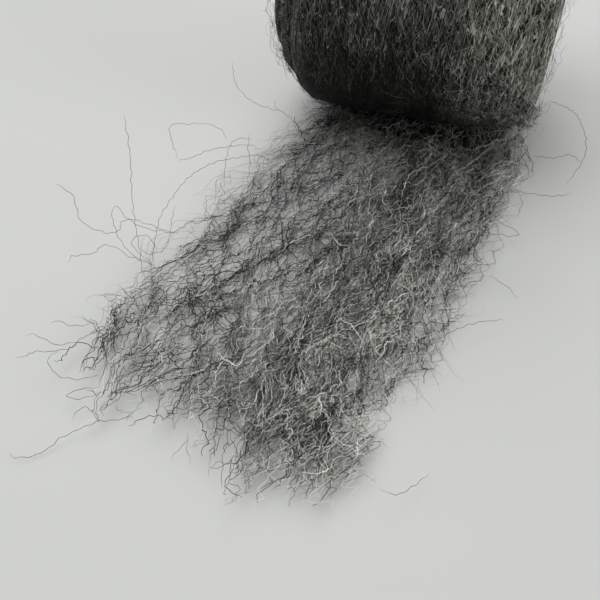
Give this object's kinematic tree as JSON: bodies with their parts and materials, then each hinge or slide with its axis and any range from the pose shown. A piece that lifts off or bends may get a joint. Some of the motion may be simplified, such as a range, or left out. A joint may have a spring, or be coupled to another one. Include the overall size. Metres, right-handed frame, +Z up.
{
  "type": "steel wool roll",
  "caption": "Soft roll of steel wool ribbon lying on its side, with the ribbon's free end drawn out flat and torn.",
  "frame": {"origin": "middle of the roll's flat foot, on the table", "axes": "+X along the roll's axis, -Y towards the free end of the ribbon, +Z up"},
  "size_m": [0.1215, 0.2259, 0.0946],
  "materials": {
    "steel_wool": "bare dark grey steel fibre, matt in the mass with fine bright glints"
  },
  "bodies": {
    "root": {"wool_ribbon": "steel_wool"}
  },
  "joints": []
}
